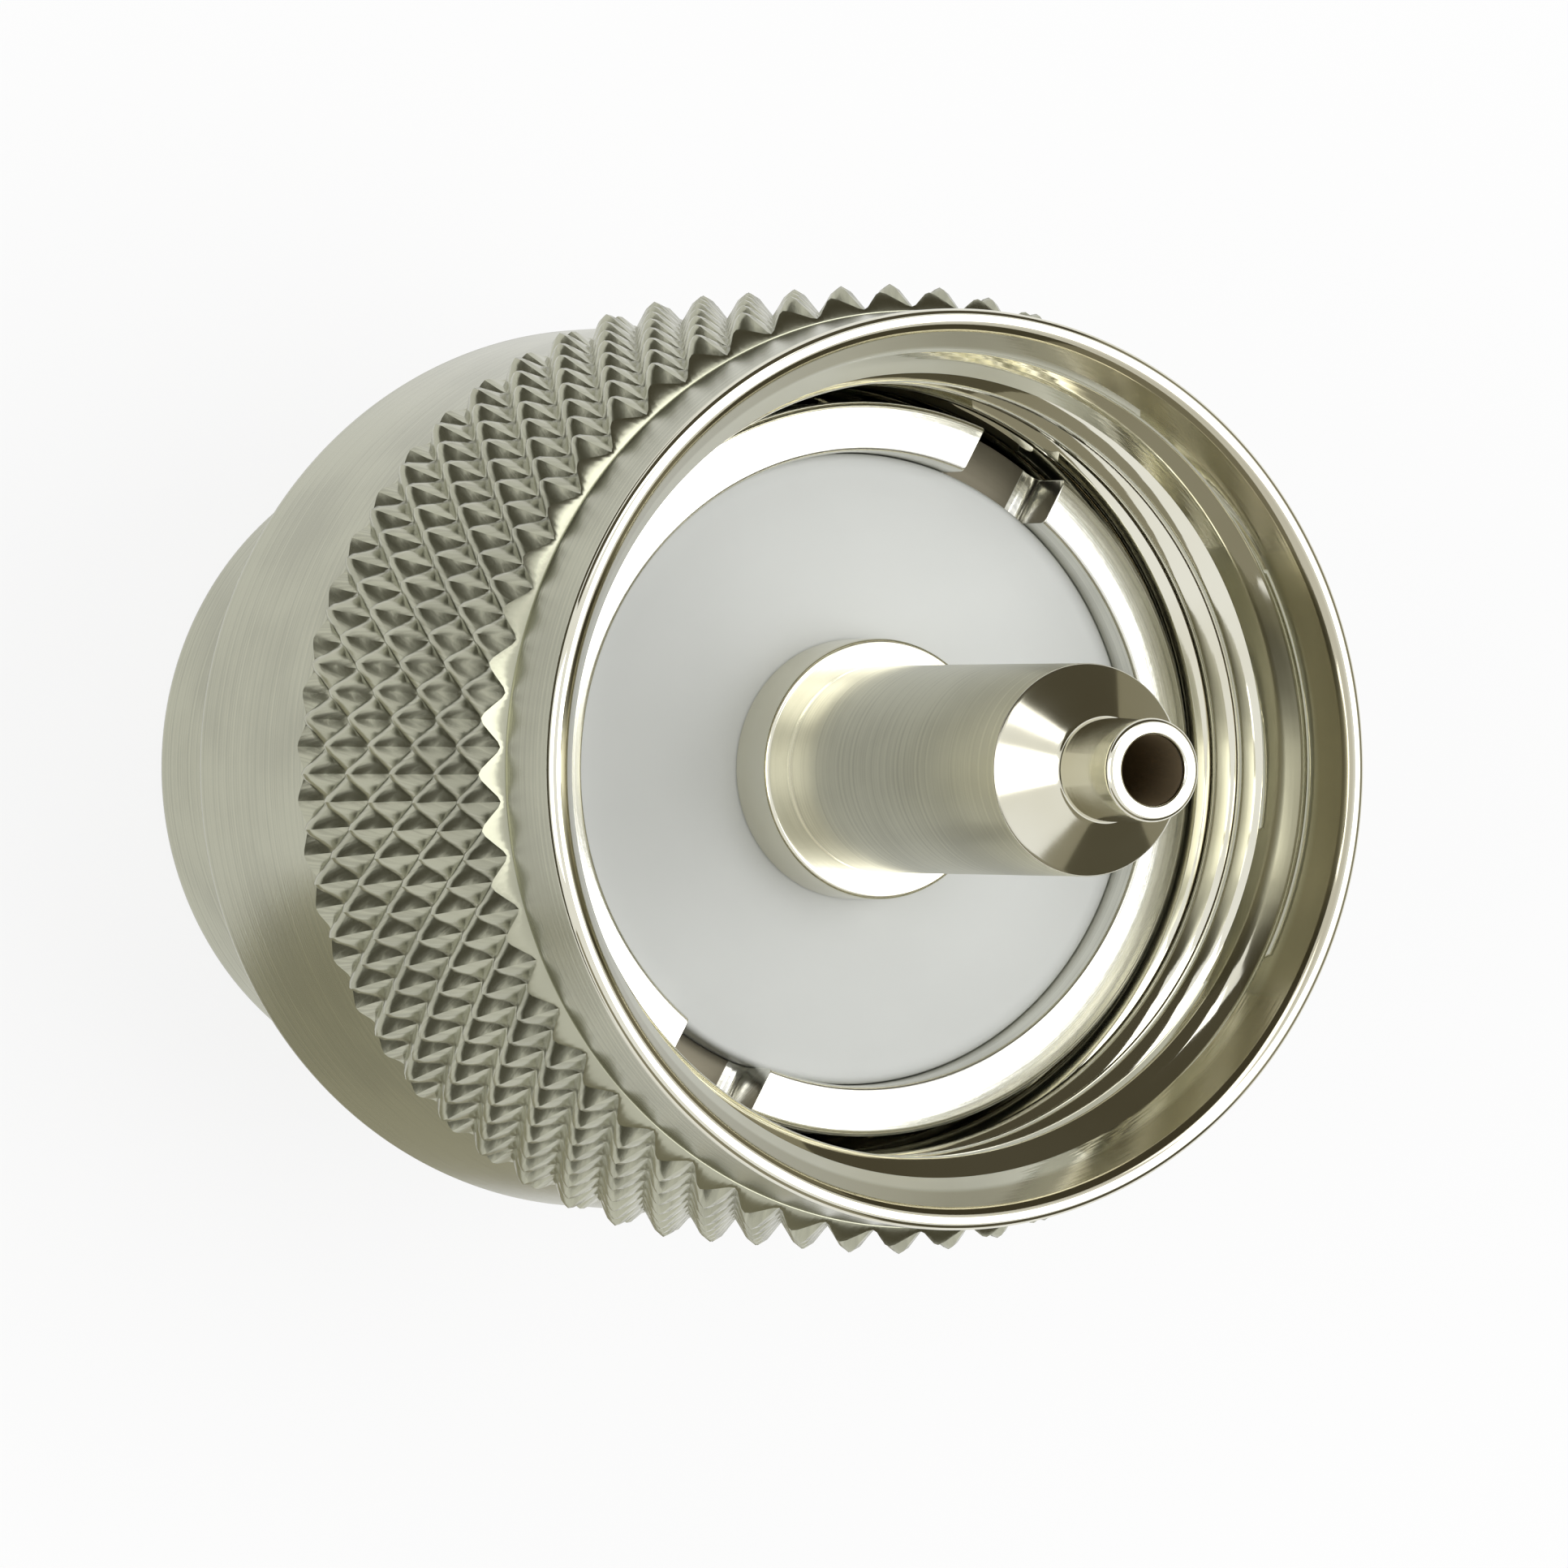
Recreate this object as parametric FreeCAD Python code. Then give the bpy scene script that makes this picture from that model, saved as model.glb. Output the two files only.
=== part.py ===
import FreeCAD, Part
import math
import os

# A coaxial cable plug: a centre pin in a white insulator, a body with a slotted front ring,
# a knurled coupling nut that slides and turns on the body, and a back nut that clamps the
# cable. Lengths are in millimetres. The plug stands on the rear face of its back nut at
# Z = 0, its axis is Z, and its mouth is up. The two slots of the front ring lie along Y.

# Centre pin, a hollow tube that the cable's inner conductor is soldered into at the tip
PIN_RADIUS = 1.98
PIN_SHANK_RADIUS = 1.5
PIN_BORE_RADIUS = 0.65
PIN_COLLAR_RADIUS = 2.5
PIN_COLLAR_ROUND = 0.45
PIN_TIP_RADIUS = 0.962
PIN_TIP_ROUND = 0.12
PIN_TIP_LENGTH = 1.9
PIN_CONE_LENGTH = 0.66
PIN_COLLAR_LENGTH = 1.25
PIN_BEYOND_RIM = 7.46

# Coupling nut, outside
NUT_LENGTH = 15.8
COLLAR_RADIUS = 8.71
COLLAR_LENGTH = 1.9
TAIL_RADIUS = 8.75
TAIL_ROUND = 0.25
RIM_ROUND = 0.15

# Coupling nut, inside
MOUTH_RADIUS = 8.36
GROOVE_RADIUS = 7.9
TAIL_BORE_CHAMFER = 0.4

# Coupling thread, right-handed, with the shares of its pitch that are flat at crest and root
THREAD_PITCH = 25.4 / 24
THREAD_MINOR_RADIUS = 7.37
THREAD_MAJOR_RADIUS = 7.94
THREAD_CREST_SHARE = 0.25
THREAD_ROOT_SHARE = 0.125
THREAD_OVERCUT = 0.16
THREAD_TOP_CREST_BELOW_RIM = 0.5
THREAD_TOP_CREST_DEGREES = 209
THREAD_LENGTH = 9.1
RELIEF_RADIUS = 8.0
RELIEF_LENGTH = 1.1
LINER_RADIUS = 8.45

# Diamond knurl, raised, with its long diagonals along the axis
KNURL_COUNT = 54
KNURL_HALF_PITCHES = 9
KNURL_LENGTH = 8.8
KNURL_CREST_RADIUS = 9.26
KNURL_VALLEY_RADIUS = 8.78
KNURL_CHAMFER_RADIUS = 8.73
KNURL_CLEARANCE = 0.1

# Plug body
RING_RADIUS = 7.04
RING_INNER_RADIUS = 6.08
RING_BELOW_RIM = 3.95
RING_EDGE_ROUND = 0.12
RING_SLOT_WIDTH = 2.0
RING_SLOT_DEPTH = 1.2
RING_SLOT_CORNER = 0.25
FLANGE_LENGTH = 2.85
FLANGE_WEB = 0.7
BARREL_RADIUS = 5.92
STUB_RADIUS = 5.28
STUB_LENGTH = 2.6
REAR_BORE_RADIUS = 3.7
REAR_CONE_RADIUS = 4.7
REAR_CONE_LENGTH = 1.4

# Insulator
INSULATOR_RADIUS = 6.06
INSULATOR_CHAMFER = 0.12
INSULATOR_BELOW_RING = 0.7
INSULATOR_SHANK_RADIUS = 4.9
INSULATOR_REAR_Z = 9.5

# Back nut and the clamping stack inside it
BACK_NUT_RADIUS = 6.6
BACK_NUT_LENGTH = 8.2
BACK_NUT_ROUND = 0.25
BACK_NUT_WALL = 2.0
BACK_NUT_CAVITY_RADIUS = 5.3
BACK_NUT_INSIDE_NUT = 1.6
CABLE_RADIUS = 2.8
STACK_RADIUS = 5.25
STACK_BORE_RADIUS = 3.2
GASKET_BORE_RADIUS = 2.58
WASHER_THICKNESS = 0.6
GASKET_THICKNESS = 1.8
CLAMP_FLANGE = 1.1
CLAMP_CONE_RADIUS = 4.6
CLAMP_TIP_RADIUS = 3.6

# Retaining ring, split, in the nut's groove
RETAINER_INNER_RADIUS = 6.0
RETAINER_OUTER_RADIUS = 7.8
RETAINER_THICKNESS = 0.8
RETAINER_SPLIT = 1.5
RETAINER_PLAY = 0.05

# Heights that follow from the sizes above
NUT_REAR_Z = BACK_NUT_LENGTH - BACK_NUT_INSIDE_NUT
RIM_Z = NUT_REAR_Z + NUT_LENGTH
RING_FACE_Z = RIM_Z - RING_BELOW_RIM
FLANGE_REAR_Z = RING_FACE_Z - FLANGE_LENGTH
INSULATOR_FACE_Z = RING_FACE_Z - INSULATOR_BELOW_RING
PIN_COLLAR_Z = INSULATOR_FACE_Z + PIN_COLLAR_LENGTH
PIN_END_Z = RIM_Z + PIN_BEYOND_RIM
PIN_NECK_Z = PIN_END_Z - PIN_TIP_LENGTH
PIN_SHOULDER_Z = PIN_NECK_Z - PIN_CONE_LENGTH
KNURL_FRONT_Z = RIM_Z - COLLAR_LENGTH
KNURL_REAR_Z = KNURL_FRONT_Z - KNURL_LENGTH
WASHER_TOP_Z = BACK_NUT_WALL + WASHER_THICKNESS
GASKET_TOP_Z = WASHER_TOP_Z + GASKET_THICKNESS
RETAINER_REAR_Z = BACK_NUT_LENGTH + RETAINER_PLAY
RETAINER_FRONT_Z = RETAINER_REAR_Z + RETAINER_THICKNESS
THREAD_REAR_Z = RIM_Z - THREAD_LENGTH
RELIEF_REAR_Z = THREAD_REAR_Z - RELIEF_LENGTH

AXIS_FOOT = FreeCAD.Vector(0, 0, 0)
AXIS = FreeCAD.Vector(0, 0, 1)
SAME_PLACE = 1e-4


def turned(profile):
    """Return the solid that a closed outline of (radius, height) points sweeps about Z."""
    points = [FreeCAD.Vector(radius, 0, height) for radius, height in profile]
    outline = Part.makePolygon(points + points[:1])
    return Part.Face(outline).revolve(AXIS_FOOT, AXIS, 360)


def solid_rod(radius, low, high):
    """Return a cylinder about the axis between two heights."""
    return turned([(0, low), (radius, low), (radius, high), (0, high)])


def is_rim(edge, radius, height):
    """Tell whether an edge is the circle of that radius at that height about the axis."""
    circle = edge.Curve
    if not isinstance(circle, Part.Circle):
        return False
    return abs(circle.Radius - radius) < SAME_PLACE and abs(circle.Center.z - height) < SAME_PLACE


def rounded(solid, size, rims):
    """Return the solid with its circular edges at the given (radius, height) places rounded."""
    edges = [edge for edge in solid.Edges if any(is_rim(edge, *rim) for rim in rims)]
    return solid.makeFillet(size, edges)


def knurl_point(row, column):
    """Return a corner or a peak of the knurl: peaks and corners alternate both ways."""
    peak = (row + column) % 2 == 0
    radius = KNURL_CREST_RADIUS if peak else KNURL_VALLEY_RADIUS
    angle = math.pi * column / KNURL_COUNT
    height = KNURL_REAR_Z + KNURL_LENGTH * row / KNURL_HALF_PITCHES
    return FreeCAD.Vector(radius * math.cos(angle), radius * math.sin(angle), height)


def flat_face(corners):
    """Return the plane face with these corners."""
    return Part.Face(Part.makePolygon(corners + corners[:1]))


def knurl_cell(row, column):
    """Return two faces between two peaks and two corners, folded along the valley."""
    here = knurl_point(row, column)
    beside = knurl_point(row, column + 1)
    above = knurl_point(row + 1, column)
    across = knurl_point(row + 1, column + 1)
    if (row + column) % 2 == 0:
        return [flat_face([here, beside, above]), flat_face([beside, across, above])]
    return [flat_face([here, beside, across]), flat_face([here, across, above])]


def knurled_rod():
    """Return a solid rod as long as the knurl, covered with four-sided pyramids."""
    columns = range(2 * KNURL_COUNT)
    rows = range(KNURL_HALF_PITCHES)
    faces = [face for row in rows for column in columns for face in knurl_cell(row, column)]
    for row in (0, KNURL_HALF_PITCHES):
        faces.append(flat_face([knurl_point(row, column) for column in columns]))
    shell = Part.Shell(faces)
    shell.sewShape()
    return Part.Solid(shell)


def knurl_limits():
    """Return the turned envelope that chamfers both ends of the knurl at 45 degrees."""
    top = KNURL_CREST_RADIUS + KNURL_CLEARANCE
    chamfer = top - KNURL_CHAMFER_RADIUS
    return turned([
        (0, KNURL_REAR_Z),
        (KNURL_CHAMFER_RADIUS, KNURL_REAR_Z),
        (top, KNURL_REAR_Z + chamfer),
        (top, KNURL_FRONT_Z - chamfer),
        (KNURL_CHAMFER_RADIUS, KNURL_FRONT_Z),
        (0, KNURL_FRONT_Z),
    ])


def thread_groove():
    """Return the helical groove between the thread's turns, from the relief out past the rim."""
    root = THREAD_ROOT_SHARE * THREAD_PITCH / 2
    opening = (1 - THREAD_CREST_SHARE) * THREAD_PITCH / 2
    slope = (opening - root) / (THREAD_MAJOR_RADIUS - THREAD_MINOR_RADIUS)
    inner = opening + slope * THREAD_OVERCUT
    top_crest = RIM_Z - THREAD_TOP_CREST_BELOW_RIM - THREAD_PITCH * THREAD_TOP_CREST_DEGREES / 360
    turns = math.floor((top_crest - RELIEF_REAR_Z - inner) / THREAD_PITCH)
    start = top_crest - (turns - 0.5) * THREAD_PITCH
    corners = [
        FreeCAD.Vector(THREAD_MINOR_RADIUS - THREAD_OVERCUT, 0, start - inner),
        FreeCAD.Vector(THREAD_MAJOR_RADIUS, 0, start - root),
        FreeCAD.Vector(THREAD_MAJOR_RADIUS, 0, start + root),
        FreeCAD.Vector(THREAD_MINOR_RADIUS - THREAD_OVERCUT, 0, start + inner),
    ]
    helix = Part.makeHelix(THREAD_PITCH, RIM_Z + THREAD_PITCH - start, THREAD_MAJOR_RADIUS)
    helix.translate(FreeCAD.Vector(0, 0, start))
    section = Part.makePolygon(corners + corners[:1])
    return Part.Wire(helix.Edges).makePipeShell([section], True, True)


def nut_sleeve():
    """Return the nut's outside, tail, knurl and front collar, down to the liner's radius."""
    tail = solid_rod(TAIL_RADIUS, NUT_REAR_Z, KNURL_REAR_Z)
    tail = rounded(tail, TAIL_ROUND, [(TAIL_RADIUS, NUT_REAR_Z)])
    collar = solid_rod(COLLAR_RADIUS, KNURL_FRONT_Z, RIM_Z)
    collar = rounded(collar, RIM_ROUND, [(COLLAR_RADIUS, RIM_Z)])
    knurl = knurled_rod().common(knurl_limits())
    return tail.fuse([knurl, collar]).cut(solid_rod(LINER_RADIUS, NUT_REAR_Z, RIM_Z))


def nut_liner():
    """Return the nut's inside as a ring: bore, retainer groove, relief, thread and mouth."""
    lead_in = MOUTH_RADIUS - THREAD_MINOR_RADIUS
    ring = turned([
        (LINER_RADIUS, NUT_REAR_Z),
        (THREAD_MINOR_RADIUS + TAIL_BORE_CHAMFER, NUT_REAR_Z),
        (THREAD_MINOR_RADIUS, NUT_REAR_Z + TAIL_BORE_CHAMFER),
        (THREAD_MINOR_RADIUS, RETAINER_REAR_Z - RETAINER_PLAY),
        (GROOVE_RADIUS, RETAINER_REAR_Z - RETAINER_PLAY),
        (GROOVE_RADIUS, RETAINER_FRONT_Z + RETAINER_PLAY),
        (THREAD_MINOR_RADIUS, RETAINER_FRONT_Z + RETAINER_PLAY),
        (THREAD_MINOR_RADIUS, RELIEF_REAR_Z),
        (RELIEF_RADIUS, RELIEF_REAR_Z),
        (RELIEF_RADIUS, THREAD_REAR_Z),
        (THREAD_MINOR_RADIUS, THREAD_REAR_Z),
        (THREAD_MINOR_RADIUS, RIM_Z - lead_in),
        (MOUTH_RADIUS, RIM_Z),
        (LINER_RADIUS, RIM_Z),
    ])
    return ring.cut(thread_groove())


def is_liner_wall(face):
    """Tell whether a face is the cylinder on which the nut's sleeve and liner meet."""
    wall = face.Surface
    return isinstance(wall, Part.Cylinder) and abs(wall.Radius - LINER_RADIUS) < SAME_PLACE


def coupling_nut():
    """Return the nut in one piece: its sleeve and its liner without the wall between them."""
    faces = nut_sleeve().Faces + nut_liner().Faces
    shell = Part.Shell([face for face in faces if not is_liner_wall(face)])
    shell.sewShape()
    return Part.Solid(shell)


def slot_bar():
    """Return the bar that cuts both slots of the front ring, with its two lower edges rounded."""
    floor = RING_FACE_Z - RING_SLOT_DEPTH
    across = 2 * (RING_RADIUS + RING_SLOT_WIDTH)
    corner = FreeCAD.Vector(-RING_SLOT_WIDTH / 2, -across / 2, floor)
    bar = Part.makeBox(RING_SLOT_WIDTH, across, 2 * RING_SLOT_DEPTH, corner)
    low = [edge for edge in bar.Edges if edge.BoundBox.ZMax < floor + SAME_PLACE]
    long = [edge for edge in low if edge.BoundBox.YLength > RING_SLOT_WIDTH]
    return bar.makeFillet(RING_SLOT_CORNER, long)


def plug_body():
    """Return the body: slotted front ring, flange, barrel, and the stub inside the back nut."""
    stub_rear = BACK_NUT_LENGTH - STUB_LENGTH
    pocket_floor = FLANGE_REAR_Z + FLANGE_WEB
    body = turned([
        (REAR_CONE_RADIUS, stub_rear),
        (STUB_RADIUS, stub_rear),
        (STUB_RADIUS, BACK_NUT_LENGTH),
        (BARREL_RADIUS, BACK_NUT_LENGTH),
        (BARREL_RADIUS, FLANGE_REAR_Z),
        (RING_RADIUS, FLANGE_REAR_Z),
        (RING_RADIUS, RING_FACE_Z),
        (RING_INNER_RADIUS, RING_FACE_Z),
        (RING_INNER_RADIUS, pocket_floor),
        (INSULATOR_SHANK_RADIUS, pocket_floor),
        (INSULATOR_SHANK_RADIUS, INSULATOR_REAR_Z),
        (REAR_BORE_RADIUS, INSULATOR_REAR_Z),
        (REAR_BORE_RADIUS, stub_rear + REAR_CONE_LENGTH),
    ])
    body = rounded(body, RING_EDGE_ROUND, [(RING_RADIUS, RING_FACE_Z), (RING_INNER_RADIUS, RING_FACE_Z)])
    return body.cut(slot_bar())


def insulator():
    """Return the insulator: a disc in the front ring and a shank down the barrel."""
    pocket_floor = FLANGE_REAR_Z + FLANGE_WEB
    return turned([
        (PIN_SHANK_RADIUS, INSULATOR_REAR_Z),
        (INSULATOR_SHANK_RADIUS, INSULATOR_REAR_Z),
        (INSULATOR_SHANK_RADIUS, pocket_floor),
        (INSULATOR_RADIUS, pocket_floor),
        (INSULATOR_RADIUS, INSULATOR_FACE_Z - INSULATOR_CHAMFER),
        (INSULATOR_RADIUS - INSULATOR_CHAMFER, INSULATOR_FACE_Z),
        (PIN_SHANK_RADIUS, INSULATOR_FACE_Z),
    ])


def centre_pin():
    """Return the hollow pin: shank, collar on the insulator, and the stepped, coned nose."""
    pin = turned([
        (PIN_BORE_RADIUS, INSULATOR_REAR_Z),
        (PIN_SHANK_RADIUS, INSULATOR_REAR_Z),
        (PIN_SHANK_RADIUS, INSULATOR_FACE_Z),
        (PIN_COLLAR_RADIUS, INSULATOR_FACE_Z),
        (PIN_COLLAR_RADIUS, PIN_COLLAR_Z),
        (PIN_RADIUS, PIN_COLLAR_Z),
        (PIN_RADIUS, PIN_SHOULDER_Z),
        (PIN_TIP_RADIUS, PIN_NECK_Z),
        (PIN_TIP_RADIUS, PIN_END_Z),
        (PIN_BORE_RADIUS, PIN_END_Z),
    ])
    pin = rounded(pin, PIN_COLLAR_ROUND, [(PIN_COLLAR_RADIUS, PIN_COLLAR_Z)])
    return rounded(pin, PIN_TIP_ROUND, [(PIN_TIP_RADIUS, PIN_END_Z)])


def retaining_ring():
    """Return the split ring that rides in the nut's groove and slides on the barrel."""
    ring = turned([
        (RETAINER_INNER_RADIUS, RETAINER_REAR_Z),
        (RETAINER_OUTER_RADIUS, RETAINER_REAR_Z),
        (RETAINER_OUTER_RADIUS, RETAINER_FRONT_Z),
        (RETAINER_INNER_RADIUS, RETAINER_FRONT_Z),
    ])
    corner = FreeCAD.Vector(0, -RETAINER_SPLIT / 2, RETAINER_REAR_Z - RETAINER_THICKNESS)
    return ring.cut(Part.makeBox(2 * RETAINER_OUTER_RADIUS, RETAINER_SPLIT, 3 * RETAINER_THICKNESS, corner))


def back_nut():
    """Return the back nut: a cap with a cable hole, screwed over the body's stub."""
    nut = turned([
        (CABLE_RADIUS, 0),
        (BACK_NUT_RADIUS, 0),
        (BACK_NUT_RADIUS, BACK_NUT_LENGTH),
        (BACK_NUT_CAVITY_RADIUS, BACK_NUT_LENGTH),
        (BACK_NUT_CAVITY_RADIUS, BACK_NUT_WALL),
        (CABLE_RADIUS, BACK_NUT_WALL),
    ])
    return rounded(nut, BACK_NUT_ROUND, [(BACK_NUT_RADIUS, 0)])


def flat_ring(bore_radius, rear, front):
    """Return a plain ring of the clamping stack between two heights."""
    return turned([
        (bore_radius, rear),
        (STACK_RADIUS, rear),
        (STACK_RADIUS, front),
        (bore_radius, front),
    ])


def braid_clamp():
    """Return the coned clamp that presses the cable's braid into the body's rear cone."""
    flange_front = GASKET_TOP_Z + CLAMP_FLANGE
    tip = flange_front + REAR_CONE_LENGTH
    return turned([
        (STACK_BORE_RADIUS, GASKET_TOP_Z),
        (STACK_RADIUS, GASKET_TOP_Z),
        (STACK_RADIUS, flange_front),
        (CLAMP_CONE_RADIUS, flange_front),
        (CLAMP_TIP_RADIUS, tip),
        (STACK_BORE_RADIUS, tip),
    ])


PIECES = {
    "coupling_nut": coupling_nut(),
    "plug_body": plug_body(),
    "insulator": insulator(),
    "centre_pin": centre_pin(),
    "retaining_ring": retaining_ring(),
    "back_nut": back_nut(),
    "washer": flat_ring(STACK_BORE_RADIUS, BACK_NUT_WALL, WASHER_TOP_Z),
    "gasket": flat_ring(GASKET_BORE_RADIUS, WASHER_TOP_Z, GASKET_TOP_Z),
    "braid_clamp": braid_clamp(),
}

os.makedirs("parts", exist_ok=True)
for name, shape in PIECES.items():
    print(name, "valid" if shape.isValid() else "broken", len(shape.Solids), round(shape.Volume, 2))
    shape.exportStep("parts/" + name + ".step")
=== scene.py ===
import logging
import math
from collections.abc import Sequence
from dataclasses import dataclass
from enum import Enum

import bmesh
import bpy
import numpy as np
from mathutils import Matrix, Vector


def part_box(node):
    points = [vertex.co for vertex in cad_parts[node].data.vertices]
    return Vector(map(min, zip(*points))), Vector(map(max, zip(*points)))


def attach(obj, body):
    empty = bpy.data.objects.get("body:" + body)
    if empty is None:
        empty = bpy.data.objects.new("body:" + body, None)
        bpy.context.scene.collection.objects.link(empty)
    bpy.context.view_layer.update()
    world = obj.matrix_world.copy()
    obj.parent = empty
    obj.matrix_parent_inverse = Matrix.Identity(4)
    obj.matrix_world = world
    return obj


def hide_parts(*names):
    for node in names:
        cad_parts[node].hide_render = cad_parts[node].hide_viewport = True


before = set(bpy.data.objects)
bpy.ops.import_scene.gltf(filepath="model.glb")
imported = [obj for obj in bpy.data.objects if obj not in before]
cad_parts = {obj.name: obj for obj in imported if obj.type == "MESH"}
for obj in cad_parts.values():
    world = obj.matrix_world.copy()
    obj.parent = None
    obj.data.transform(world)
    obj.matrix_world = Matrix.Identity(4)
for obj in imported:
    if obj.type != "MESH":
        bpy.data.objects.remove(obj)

# A coaxial plug stands on its back nut with its mouth up. Lengths are in metres in the frame
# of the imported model, and the plug's axis is Z.
MM = 0.001
FULL_TURN = 2 * math.pi
# No part of the plug lies so far from the axis or so high.
FAR = 1.0
# Points that lie closer than this are one point.
WELD = 0.0002 * MM
# An edge is sharp where its two faces meet at more than this, on a turned and on a cut piece.
CREASE = math.radians(50)
CUT_CREASE = math.radians(40)
WHITE = (1.0, 1.0, 1.0, 1.0)
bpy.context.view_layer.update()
LOG = logging.getLogger("plug")


class Body(Enum):
    """The bodies that the pieces made here ride on."""

    PLUG = "plug_body"
    NUT = "coupling_nut"


class Value:
    """A number that varies over a surface: an output socket that takes part in arithmetic."""

    def __init__(self, book: "NodeBook", socket: bpy.types.NodeSocket) -> None:
        """Wrap a socket.

        Args:
            book: The node tree's wrapper, which makes the Math nodes.
            socket: The output socket that carries the number.
        """
        self.book = book
        self.socket = socket

    def joined(self, operation: str, first: "Operand", second: "Operand") -> "Value":
        """Return the result of a Math node on two operands.

        Args:
            operation: The Math node's operation.
            first: The first operand.
            second: The second operand.

        Returns:
            The node's output as a Value.
        """
        made = self.book.node("ShaderNodeMath", {"operation": operation}, {0: first, 1: second})
        return Value(self.book, made.outputs[0])

    def __add__(self, other: "Operand") -> "Value":
        """Return the sum."""
        return self.joined("ADD", self, other)

    def __radd__(self, other: "Operand") -> "Value":
        """Return the sum, with this value on the right."""
        return self.joined("ADD", other, self)

    def __sub__(self, other: "Operand") -> "Value":
        """Return the difference."""
        return self.joined("SUBTRACT", self, other)

    def __rsub__(self, other: "Operand") -> "Value":
        """Return the difference, with this value on the right."""
        return self.joined("SUBTRACT", other, self)

    def __mul__(self, other: "Operand") -> "Value":
        """Return the product."""
        return self.joined("MULTIPLY", self, other)

    def __rmul__(self, other: "Operand") -> "Value":
        """Return the product, with this value on the right."""
        return self.joined("MULTIPLY", other, self)

    def __pow__(self, other: "Operand") -> "Value":
        """Return the power."""
        return self.joined("POWER", self, other)

    def greater(self, other: "Operand") -> "Value":
        """Return the greater of two values at each point."""
        return self.joined("MAXIMUM", self, other)

    def ramp(self, low: float, high: float) -> "Value":
        """Return a smooth step.

        Args:
            low: The value at and below which the step is 0.
            high: The value at and above which the step is 1.

        Returns:
            The step as a Value.
        """
        sockets = {"Value": self, "From Min": low, "From Max": high}
        made = self.book.node("ShaderNodeMapRange", {"interpolation_type": "SMOOTHSTEP"}, sockets)
        return Value(self.book, made.outputs["Result"])


Operand = Value | float | int
Colour = tuple[float, float, float]
Tint = Colour | bpy.types.NodeSocket
Input = Value | bpy.types.NodeSocket | float | int | tuple[float, ...]


class NodeBook:
    """Makes the nodes of one material or world."""

    def __init__(self, tree: bpy.types.NodeTree) -> None:
        """Empty a node tree and keep it.

        Args:
            tree: The node tree of a material or a world.
        """
        self.tree = tree
        tree.nodes.clear()

    def node(
        self,
        kind: str,
        settings: dict[str, object] | None = None,
        inputs: dict[str | int, Input] | None = None,
    ) -> bpy.types.Node:
        """Add one node.

        Args:
            kind: The node's type name.
            settings: The node's own options, which are set first.
            inputs: A value, a socket or a Value for each input socket's name or place.

        Returns:
            The new node.
        """
        made = self.tree.nodes.new(kind)
        for name, setting in (settings or {}).items():
            setattr(made, name, setting)
        for place, given in (inputs or {}).items():
            source = given.socket if isinstance(given, Value) else given
            if isinstance(source, bpy.types.NodeSocket):
                self.tree.links.new(source, made.inputs[place])
            else:
                made.inputs[place].default_value = source
        return made

    def noise(self, scale: float, detail: float, along: Input) -> Value:
        """Return a noise that is read at a point or along one number.

        Args:
            scale: The noise's cells in each metre.
            detail: The number of finer layers.
            along: A Value for noise along one number, or a vector socket for noise in space.

        Returns:
            The noise, from 0 to 1.
        """
        line = isinstance(along, Value)
        settings = {"noise_dimensions": "1D" if line else "3D"}
        inputs = {"W" if line else "Vector": along, "Scale": scale, "Detail": detail}
        return Value(self, self.node("ShaderNodeTexNoise", settings, inputs).outputs[0])

    def blend(self, share: Value, first: Tint, second: Tint) -> bpy.types.NodeSocket:
        """Return a colour between two colours.

        Args:
            share: 0 for the first colour and 1 for the second.
            first: The first colour, linear, or its socket.
            second: The second colour, linear, or its socket.

        Returns:
            The colour's socket.
        """
        first, second = ((*tint, 1.0) if isinstance(tint, tuple) else tint for tint in (first, second))
        made = self.node("ShaderNodeMix", {"data_type": "RGBA"}, {0: share, 6: first, 7: second})
        return made.outputs[2]

    def bump(self, height: Value, depth: float) -> bpy.types.NodeSocket:
        """Return a normal that a fine relief bends.

        Args:
            height: The relief, from 0 to 1.
            depth: The height of 1, in metres.

        Returns:
            The normal's socket.
        """
        inputs = {"Strength": 1.0, "Distance": depth, "Height": height}
        return self.node("ShaderNodeBump", None, inputs).outputs["Normal"]


@dataclass(frozen=True)
class Place:
    """Where a point of a surface lies on a turned piece."""

    point: bpy.types.NodeSocket
    across: Value
    radius: Value
    height: Value

    @staticmethod
    def on(book: NodeBook) -> "Place":
        """Return the place of the point that is shaded.

        Args:
            book: The material's node maker.

        Returns:
            The point, how far it lies along X, its distance from the axis and its height.
        """
        point = book.node("ShaderNodeTexCoord").outputs["Object"]
        parts = book.node("ShaderNodeSeparateXYZ", None, {0: point}).outputs
        across, deep, height = (Value(book, socket) for socket in parts)
        return Place(point, across, (across * across + deep * deep) ** 0.5, height)


def dressed(name: str, finish: "Finish") -> bpy.types.Material:
    """Return a material whose surface is one Principled shader.

    Args:
        name: The material's name.
        finish: The finish that fills the shader's sockets.

    Returns:
        The material.
    """
    material = bpy.data.materials.new(name)
    material.use_nodes = True
    book = NodeBook(material.node_tree)
    shader = book.node("ShaderNodeBsdfPrincipled", None, finish.sockets(book))
    book.node("ShaderNodeOutputMaterial", None, {"Surface": shader.outputs["BSDF"]})
    return material


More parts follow.
